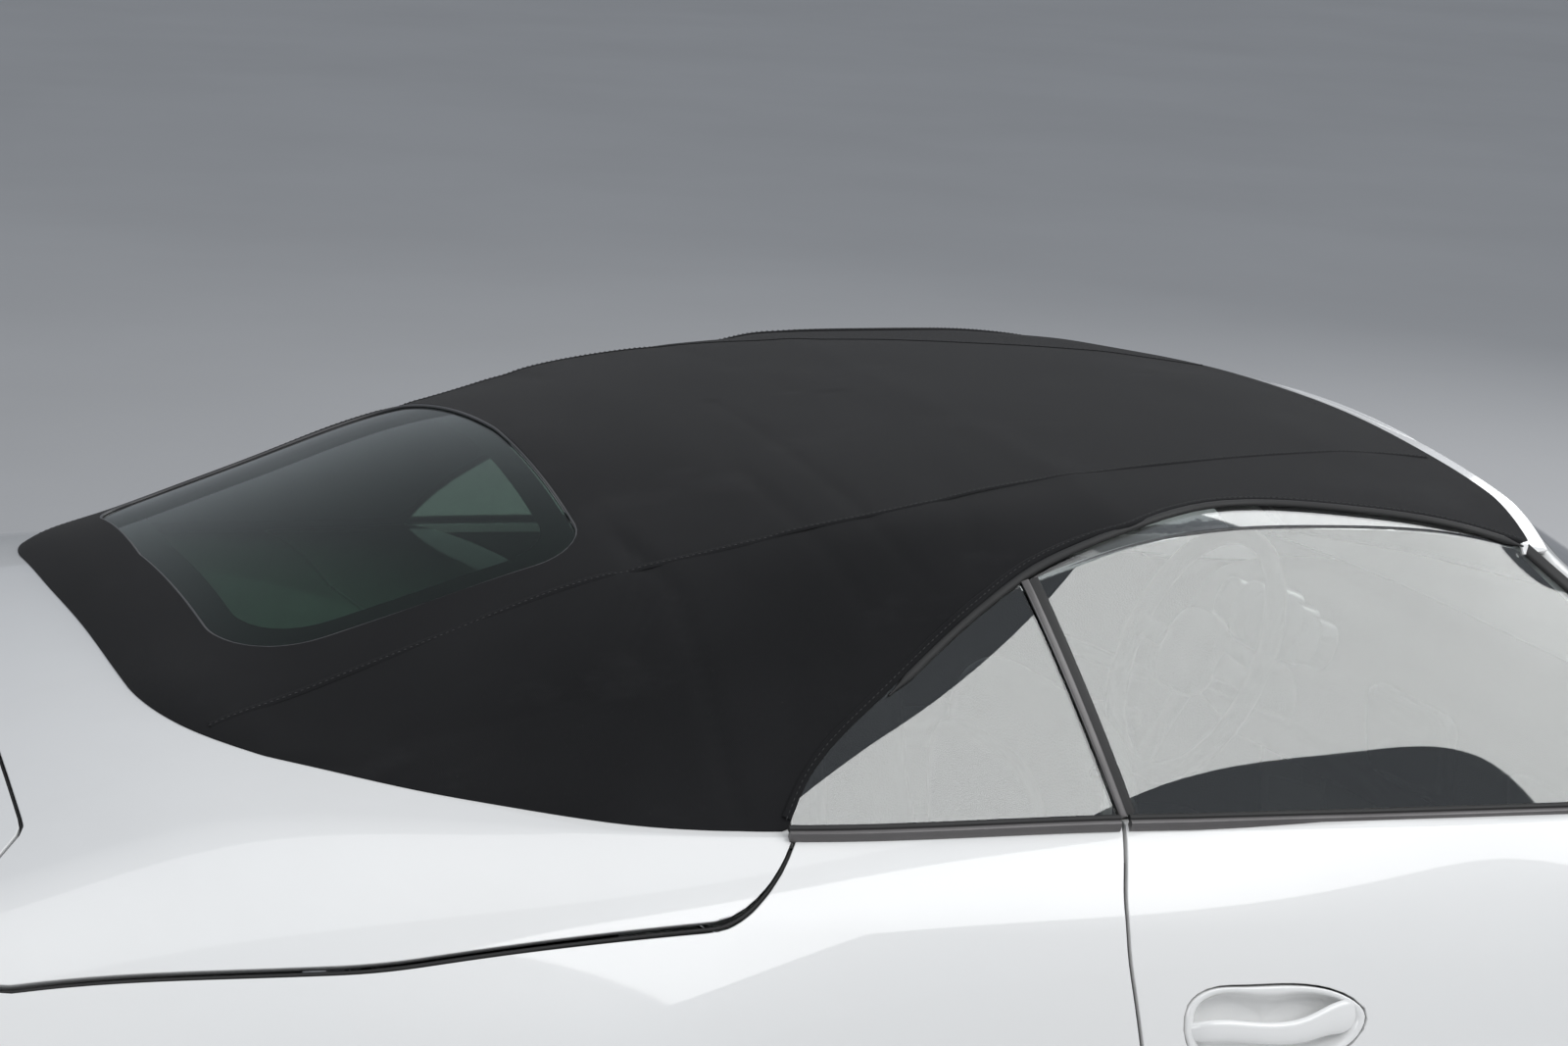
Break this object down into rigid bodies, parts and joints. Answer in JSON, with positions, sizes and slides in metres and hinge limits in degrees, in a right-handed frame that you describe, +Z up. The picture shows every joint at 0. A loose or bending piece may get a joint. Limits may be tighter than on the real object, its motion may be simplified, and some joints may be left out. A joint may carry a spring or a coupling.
{
  "type": "convertible car",
  "caption": "Two-door rear-engined convertible car, white, with a raised black fabric top, glass rear window, opening doors and lids, and wheels that roll and steer.",
  "frame": {"origin": "on the ground under the middle of the car, midway between the bumpers", "axes": "+X forwards, +Y to the car's left, +Z up"},
  "size_m": [4.43, 1.994, 1.2661],
  "materials": {
    "paint": "gloss white paint",
    "soft_top_fabric": "black woven cloth",
    "rear_glass": "dark green tinted glass",
    "side_glass": "light green tinted glass",
    "lamp_glass": "clear lamp cover",
    "tail_lamp_red": "red lamp cover",
    "carpet": "dark carpet",
    "undercoat": "satin black coating",
    "engine_metal": "cast, dull",
    "exhaust_steel": "brushed",
    "cast_metal": "cast, dull",
    "seat_leather": "black leather",
    "dash_plastic": "soft grained plastic",
    "rim_alloy": "silver lacquer",
    "tyre_rubber": "matt rubber"
  },
  "bodies": {
    "root": {"front_bumper": "paint", "rear_bumper": "paint", "sills": "paint", "cowl": "paint", "top_compartment_lid": "paint", "soft_top": "soft_top_fabric", "rear_window": "rear_glass", "windscreen_frame": "paint", "windscreen": "side_glass", "headlamps": "lamp_glass", "tail_lamps": "tail_lamp_red", "quarter_glass": "side_glass", "floor_pan": "carpet", "front_structure": "undercoat", "rear_structure": "undercoat", "engine": "engine_metal", "exhaust": "exhaust_steel", "front_axle": "cast_metal", "rear_axle": "cast_metal", "seats": "seat_leather", "rear_bench": "seat_leather", "dashboard": "dash_plastic", "steering_wheel": "dash_plastic", "front_wing_left": "paint", "quarter_panel_left": "paint", "front_wing_right": "paint", "quarter_panel_right": "paint"},
    "door_left": {"door_left": "paint", "door_glass_left": "side_glass", "mirror_left": "paint"},
    "knuckle_left": {"knuckle_left": "cast_metal"},
    "door_right": {"door_right": "paint", "door_glass_right": "side_glass", "mirror_right": "paint"},
    "knuckle_right": {"knuckle_right": "cast_metal"},
    "bonnet": {"bonnet": "paint"},
    "engine_lid": {"engine_lid": "paint"},
    "wheel_front_left": {"rim_front_left": "rim_alloy", "tyre_front_left": "tyre_rubber"},
    "wheel_front_right": {"rim_front_right": "rim_alloy", "tyre_front_right": "tyre_rubber"},
    "wheel_rear_left": {"rim_rear_left": "rim_alloy", "tyre_rear_left": "tyre_rubber"},
    "wheel_rear_right": {"rim_rear_right": "rim_alloy", "tyre_rear_right": "tyre_rubber"}
  },
  "joints": [
    {"name": "steer_left", "type": "hinge", "parent": "root", "child": "knuckle_left", "pos_m": [1.28, 0.703, 0.3235], "axis": [0, 0, 1], "range_deg": [-35, 35]},
    {"name": "door_left_swing", "type": "hinge", "parent": "root", "child": "door_left", "pos_m": [0.698, 0.841, 0.45], "axis": [0, 0, 1], "range_deg": [-65, 0]},
    {"name": "steer_right", "type": "hinge", "parent": "root", "child": "knuckle_right", "pos_m": [1.28, -0.703, 0.3235], "axis": [0, 0, 1], "range_deg": [-35, 35]},
    {"name": "door_right_swing", "type": "hinge", "parent": "root", "child": "door_right", "pos_m": [0.698, -0.841, 0.45], "axis": [0, 0, 1], "range_deg": [0, 65]},
    {"name": "wheel_front_left_turn", "type": "hinge", "parent": "knuckle_left", "child": "wheel_front_left", "pos_m": [1.28, 0.743, 0.3235], "axis": [0, 1, 0], "continuous": true},
    {"name": "wheel_front_right_turn", "type": "hinge", "parent": "knuckle_right", "child": "wheel_front_right", "pos_m": [1.28, -0.743, 0.3235], "axis": [0, 1, 0], "continuous": true},
    {"name": "wheel_rear_left_turn", "type": "hinge", "parent": "root", "child": "wheel_rear_left", "pos_m": [-1.07, 0.752, 0.328], "axis": [0, 1, 0], "continuous": true},
    {"name": "wheel_rear_right_turn", "type": "hinge", "parent": "root", "child": "wheel_rear_right", "pos_m": [-1.07, -0.752, 0.328], "axis": [0, 1, 0], "continuous": true},
    {"name": "bonnet_lift", "type": "hinge", "parent": "root", "child": "bonnet", "pos_m": [0.7, 0, 0.895], "axis": [0, -1, 0], "range_deg": [0, 60]},
    {"name": "engine_lid_lift", "type": "hinge", "parent": "root", "child": "engine_lid", "pos_m": [-1.44, 0, 0.985], "axis": [0, 1, 0], "range_deg": [0, 55]}
  ],
  "couplings": [
    {"joint": "steer_right", "follows": "steer_left", "ratio": 1}
  ]
}
